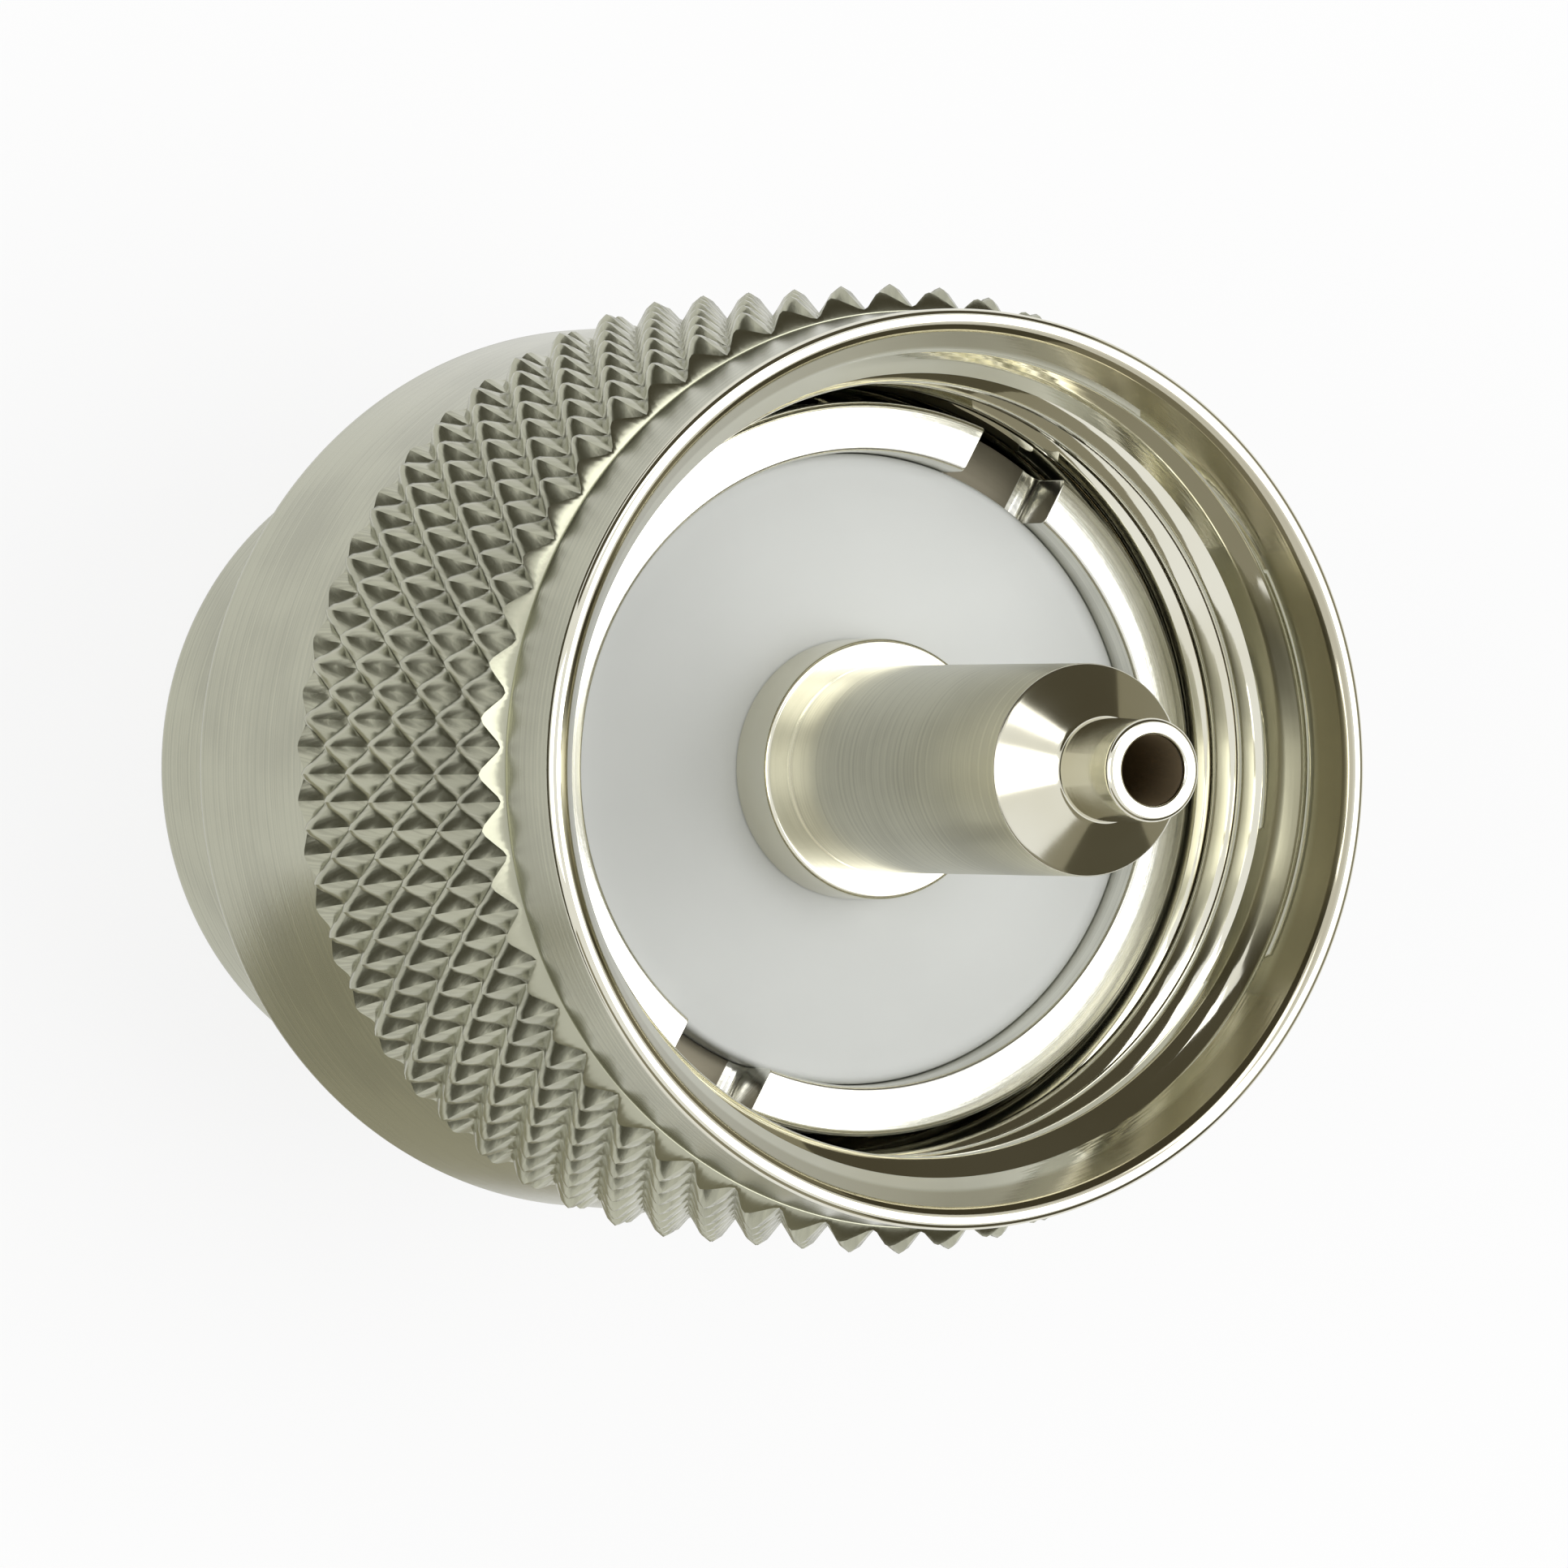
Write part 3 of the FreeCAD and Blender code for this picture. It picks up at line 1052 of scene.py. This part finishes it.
def settle(piece: bpy.types.Object, cutter: bpy.types.Object) -> None:
    """Apply a piece's modifiers, worked out at a thousand times its size, and drop its cutter.

    Args:
        piece: The piece with modifiers.
        cutter: The object that one of the modifiers cuts with.
    """
    grown = Matrix.Scale(1 / MM, 4)
    for thing in (piece, cutter):
        thing.data.transform(grown)
    seen = piece.evaluated_get(bpy.context.evaluated_depsgraph_get())
    mesh = bpy.data.meshes.new_from_object(seen)
    piece.modifiers.clear()
    piece.data = mesh
    mesh.transform(Matrix.Scale(MM, 4))
    mesh.shade_smooth()
    mesh.set_sharp_from_angle(angle=CUT_CREASE)
    bpy.data.objects.remove(cutter)


@dataclass(frozen=True)
class CentrePin:
    """The hollow centre pin: shank, rounded collar, cylinder, cone and tip.

    Its cylinder is satin from just above the collar, and its bore is painted brown as shade up to near the
    tip.
    """

    tip: float
    face: float
    rear: float
    bore: float = 0.65 * MM
    shank: float = 1.5 * MM
    collar: float = 2.5 * MM
    collar_length: float = 1.25 * MM
    collar_round: float = 0.1 * MM
    radius: float = 1.98 * MM
    tip_radius: float = 0.962 * MM
    tip_length: float = 1.9 * MM
    cone_length: float = 0.66 * MM
    tip_round: float = 0.11 * MM
    edge: float = 0.06 * MM
    bright_roughness: float = 0.11
    satin_start: float = 0.05 * MM
    satin_colour: Colour = (0.6, 0.59, 0.49)
    satin_roughness: float = 0.3
    # The bore is painted brown as shade, up to near the tip.
    bore_shade_margin: float = 0.05 * MM
    bore_shade_end: float = 0.1 * MM
    painted_brown_shade: Colour = (0.42, 0.34, 0.22)
    brown_shade_roughness: float = 0.8

    def finish(self) -> NickelPlate:
        """Return the pin's finish.

        Returns:
            Bright plate, satin on the cylinder and painted brown shade in the bore.
        """
        low = self.face + self.collar_length + self.satin_start
        high = self.tip - self.tip_length - self.cone_length
        return NickelPlate(
            satin=Zone(low=low, high=high),
            shaded_and_dull=Zone(outer=self.bore + self.bore_shade_margin, high=self.tip - self.bore_shade_end),
            painted_shade_colour=self.painted_brown_shade,
            shaded_zone_roughness=self.brown_shade_roughness,
            satin_colour=self.satin_colour,
            bright_roughness=self.bright_roughness,
            satin_roughness=self.satin_roughness,
        )

    def dress(self) -> None:
        """Build the pin and seat it in place of its node."""
        seated(self.build(), Body.PLUG, "centre_pin", "nickel_pin", self.finish())

    def build(self) -> bpy.types.Object:
        """Return the pin as one piece.

        Returns:
            The new object.
        """
        neck = self.tip - self.tip_length
        shoulder = neck - self.cone_length
        top = self.face + self.collar_length
        corners = [
            Corner(self.bore, self.rear),
            Corner(self.shank, self.rear),
            Corner(self.shank, self.face),
            Corner(self.collar, self.face, self.edge),
            Corner(self.collar, top, self.collar_round),
            Corner(self.radius, top),
            Corner(self.radius, shoulder, self.edge),
            Corner(self.tip_radius, neck, 2 * self.edge),
            Corner(self.tip_radius, self.tip, self.tip_round),
            Corner(self.bore, self.tip, self.edge),
        ]
        return turned("centre_pin_detail", Outline(corners), 192)


@dataclass(frozen=True)
class Insulator:
    """The white insulator: a disc in the ring and a shank down the barrel."""

    face: float
    rear: float
    bore: float = 1.5 * MM
    disc: float = 6.06 * MM
    shank: float = 4.9 * MM
    disc_thickness: float = 1.45 * MM
    edge: float = 0.12 * MM

    def dress(self) -> None:
        """Build the insulator and seat it in place of its node."""
        seated(self.build(), Body.PLUG, "insulator", "white_insulator", WhitePlastic())

    def build(self) -> bpy.types.Object:
        """Return the insulator as one piece.

        Returns:
            The new object.
        """
        floor = self.face - self.disc_thickness
        corners = [
            Corner(self.bore, self.rear),
            Corner(self.shank, self.rear, self.edge),
            Corner(self.shank, floor),
            Corner(self.disc, floor, self.edge),
            Corner(self.disc, self.face, self.edge),
            Corner(self.bore, self.face),
        ]
        return turned("insulator_detail", Outline(corners))


@dataclass(frozen=True)
class BackNut:
    """The plain barrel behind the nut, with the cable hole in its end."""

    low: float
    high: float
    radius: float = 6.6 * MM
    cavity: float = 5.3 * MM
    wall: float = 2.0 * MM
    cable: float = 2.8 * MM
    rear_round: float = 0.25 * MM
    edge: float = 0.15 * MM

    def dress(self) -> None:
        """Build the back nut and seat it in place of its node."""
        seated(self.build(), Body.PLUG, "back_nut", "nickel_back", NickelPlate(satin=EVERYWHERE))

    def build(self) -> bpy.types.Object:
        """Return the back nut as one piece.

        Returns:
            The new object.
        """
        corners = [
            Corner(self.cable, self.low, self.edge),
            Corner(self.radius, self.low, self.rear_round),
            Corner(self.radius, self.high, self.edge),
            Corner(self.cavity, self.high),
            Corner(self.cavity, self.low + self.wall),
            Corner(self.cable, self.low + self.wall, self.edge),
        ]
        return turned("back_nut_detail", Outline(corners))


@dataclass(frozen=True)
class InnerRings:
    """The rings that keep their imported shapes: inside the back nut, and the retaining ring."""

    spring: Colour = (0.55, 0.47, 0.3)
    spring_stain: Colour = (0.45, 0.36, 0.2)

    def dress(self) -> None:
        """Give each ring its finish where it is."""
        plate = NickelPlate(satin=EVERYWHERE)
        finishes = {
            "washer": ("washer_metal", plate),
            "braid_clamp": ("clamp_metal", plate),
            "gasket": ("gasket_rubber", GasketRubber()),
            "retaining_ring": ("spring_ring", NickelPlate(colour=self.spring, stain=self.spring_stain)),
        }
        for node, (slot, finish) in finishes.items():
            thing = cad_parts[node]
            thing.data.materials.clear()
            thing.data.materials.append(dressed(slot, finish))
            LOG.info("%s: finished", node)


@dataclass(frozen=True)
class Softbox:
    """A lamp with a soft rectangular face that looks at the plug.

    Its side is in degrees to the camera's right and its rise in degrees above the camera.
    """

    name: str
    side: float
    rise: float
    reach: float
    width: float
    depth: float
    radiance: float


@dataclass(frozen=True)
class Card:
    """A card in the metal's reflections, set by its azimuth and its edges' (reach, height)."""

    name: str
    azimuth: float
    low: tuple[float, float]
    high: tuple[float, float]
    width: float
    tone: Colour


@dataclass(frozen=True)
class Studio:
    """Floor, pale surroundings, lamps, cards and the camera, whose axes the lamps follow."""

    rim: float
    tilt: float = math.radians(27.05)
    turn: float = math.radians(29.0)
    roll: float = math.radians(0.35)
    lens: float = 298.2
    sensor: float = 36.0
    distance: float = 245.32 * MM
    aside: float = 3.409 * MM
    above: float = 0.297 * MM
    nearest: float = 0.01
    furthest: float = 20.0
    floor_size: float = 6.0
    floor_colour: float = 0.86
    floor_glow: float = 0.82
    ambient: float = 0.55

    def axes(self) -> tuple[Vector, Vector, Vector]:
        """Return the camera's axes.

        Returns:
            The directions to its right, to its top and to its back.
        """
        lean, rise = math.cos(self.tilt), math.sin(self.tilt)
        around = (math.cos(self.turn), math.sin(self.turn))
        right = Vector((-lean * around[0], -lean * around[1], rise))
        top = Vector((around[1], -around[0], 0.0))
        back = Vector((rise * around[0], rise * around[1], lean))
        return right, top, back

    def camera(self) -> None:
        """Add the camera at the photograph's viewing angle."""
        right, top, back = self.axes()
        data = bpy.data.cameras.new("camera")
        data.lens = self.lens
        data.sensor_width = self.sensor
        data.clip_start = self.nearest
        data.clip_end = self.furthest
        made = bpy.data.objects.new("camera", data)
        place = Vector((0, 0, self.rim)) - right * self.aside - top * self.above + back * self.distance
        aim = Matrix((right, top, back)).transposed().to_4x4() @ Matrix.Rotation(self.roll, 4, "Z")
        made.matrix_world = Matrix.Translation(place) @ aim
        bpy.context.scene.collection.objects.link(made)
        bpy.context.scene.camera = made

    def seen(self, book: NodeBook) -> Value:
        """Return 1 for rays that show the surroundings to the camera, straight or by metal.

        Args:
            book: The node maker.

        Returns:
            1 for camera, glossy and transmission rays, and else 0.
        """
        rays = book.node("ShaderNodeLightPath").outputs
        names = ("Is Camera Ray", "Is Glossy Ray", "Is Transmission Ray")
        camera, glossy, passed = (Value(book, rays[name]) for name in names)
        return camera.greater(glossy).greater(passed)

    def world(self) -> None:
        """Make the world white to the camera and to metal, and a softer light elsewhere."""
        world = bpy.data.worlds.new("surroundings")
        world.use_nodes = True
        bpy.context.scene.world = world
        book = NodeBook(world.node_tree)
        strength = self.ambient + self.seen(book) * (1 - self.ambient)
        glow = book.node("ShaderNodeBackground", None, {"Color": WHITE, "Strength": strength})
        book.node("ShaderNodeOutputWorld", None, {"Surface": glow.outputs[0]})

    def flat(self, name: str, corners: Sequence[Vector]) -> bpy.types.Object:
        """Return a flat four-sided sheet that is part of the stage.

        Args:
            name: The sheet's name.
            corners: Its corners in order.

        Returns:
            The new object.
        """
        mesh = bpy.data.meshes.new(name)
        mesh.from_pydata([tuple(corner) for corner in corners], [], [(0, 1, 2, 3)])
        made = bpy.data.objects.new(name, mesh)
        bpy.context.scene.collection.objects.link(made)
        return made

    def floor(self) -> None:
        """Add the pale floor, which keeps the plug's shadow."""
        half = self.floor_size / 2
        corners = [Vector((x * half, y * half, 0)) for x, y in ((-1, -1), (1, -1), (1, 1), (-1, 1))]
        made = self.flat("floor", corners)
        material = bpy.data.materials.new("floor")
        material.use_nodes = True
        book = NodeBook(material.node_tree)
        tone = (self.floor_colour,) * 3 + (1.0,)
        matte = book.node("ShaderNodeBsdfDiffuse", None, {"Color": tone})
        glow = book.node("ShaderNodeEmission", None, {"Color": WHITE, "Strength": 1.0})
        share = self.seen(book) * self.floor_glow
        mixed = book.node("ShaderNodeMixShader", None, {0: share, 1: matte.outputs[0], 2: glow.outputs[0]})
        book.node("ShaderNodeOutputMaterial", None, {"Surface": mixed.outputs[0]})
        made.data.materials.append(material)

    def toward(self, side: float, rise: float) -> Vector:
        """Return a direction as the camera sees it.

        Args:
            side: Degrees to the camera's right of the line back to it.
            rise: Degrees above that line's level in the picture.

        Returns:
            The direction from the plug.
        """
        right, top, back = self.axes()
        side, rise = math.radians(side), math.radians(rise)
        level = right * math.sin(side) + back * math.cos(side)
        return level * math.cos(rise) + top * math.sin(rise)

    def lamp(self, box: Softbox) -> None:
        """Add one softbox.

        Args:
            box: The softbox's place, size and radiance.
        """
        data = bpy.data.lights.new(box.name, "AREA")
        data.shape = "RECTANGLE"
        data.size = box.width
        data.size_y = box.depth
        data.energy = box.radiance * math.pi * box.width * box.depth
        made = bpy.data.objects.new(box.name, data)
        away = self.toward(box.side, box.rise)
        top = self.axes()[1]
        upright = (top - away * top.dot(away)).normalized()
        across = upright.cross(away)
        place = Vector((0, 0, self.rim)) + away * box.reach
        aim = Matrix((across, upright, away)).transposed().to_4x4()
        made.matrix_world = Matrix.Translation(place) @ aim
        made.visible_camera = False
        bpy.context.scene.collection.objects.link(made)

    def card(self, card: Card) -> None:
        """Add one card that metal reflects, and that the camera and the lamps don't see.

        Args:
            card: The card's place, size and tone.
        """
        turn = math.radians(card.azimuth)
        away = Vector((math.cos(turn), math.sin(turn), 0))
        across = Vector((-math.sin(turn), math.cos(turn), 0)) * card.width / 2
        ends = [away * reach + Vector((0, 0, height)) for reach, height in (card.low, card.high)]
        corners = [ends[0] - across, ends[0] + across, ends[1] + across, ends[1] - across]
        made = self.flat(card.name, corners)
        made.visible_camera = False
        made.visible_diffuse = False
        made.visible_shadow = False
        material = bpy.data.materials.new(card.name)
        material.use_nodes = True
        book = NodeBook(material.node_tree)
        glow = book.node("ShaderNodeEmission", None, {"Color": (*card.tone, 1.0), "Strength": 1.0})
        book.node("ShaderNodeOutputMaterial", None, {"Surface": glow.outputs[0]})
        made.data.materials.append(material)

    def build(self) -> None:
        """Set up the whole studio."""
        self.world()
        self.floor()
        self.camera()
        boxes = (
            Softbox("key", side=54, rise=0, reach=0.5, width=0.34, depth=0.42, radiance=2.5),
            Softbox("fill", side=-32, rise=0, reach=0.5, width=0.44, depth=0.3, radiance=2.0),
            Softbox("top", side=17, rise=33, reach=0.5, width=0.34, depth=0.16, radiance=1.9),
        )
        for box in boxes:
            self.lamp(box)
        cards = (
            Card("card_top", -61, (0.35, 0.0), (0.35, 0.39), width=1.2, tone=(0.085, 0.075, 0.05)),
            Card("card_bottom", 119, (0.35, 0.0), (0.35, 0.28), width=1.2, tone=(0.3, 0.28, 0.21)),
            Card("card_side", 155, (0.34, 0.0), (0.34, 0.28), width=0.35, tone=(0.1, 0.09, 0.06)),
            Card("card_right", 209, (0.35, 0.0), (0.35, 0.25), width=0.7, tone=(0.27, 0.25, 0.18)),
            # These two dark cards lie flat on the floor as painted shadows that only the metal reflects:
            # one beyond the plug, one a contact shadow close beside it.
            Card("floor_shadow_card", 18, (0.024, 0.0004), (0.08, 0.0004), width=0.08, tone=(0.08, 0.075, 0.05)),
            Card("contact_shadow_card", 95, (0.0095, 0.0003), (0.0165, 0.0003), width=0.022, tone=(0.42, 0.4, 0.3)),
        )
        for card in cards:
            self.card(card)


def main() -> None:
    """Build the plug piece by piece, then the studio around it."""
    logging.basicConfig(level=logging.INFO, format="%(name)s %(message)s")
    nut_low, nut_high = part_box("coupling_nut")
    body_low, body_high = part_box("plug_body")
    pin_low, pin_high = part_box("centre_pin")
    face_low, face_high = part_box("insulator")
    back_low, back_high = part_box("back_nut")

    CouplingNut(rear=nut_low.z, rim=nut_high.z).dress()
    PlugBody(ring_face=body_high.z, rear=body_low.z).dress()
    CentrePin(tip=pin_high.z, face=face_high.z, rear=pin_low.z).dress()
    Insulator(face=face_high.z, rear=face_low.z).dress()
    BackNut(low=back_low.z, high=back_high.z).dress()
    InnerRings().dress()

    Studio(rim=nut_high.z).build()
    bpy.context.scene.view_settings.view_transform = "Standard"


if __name__ == "__main__":
    main()
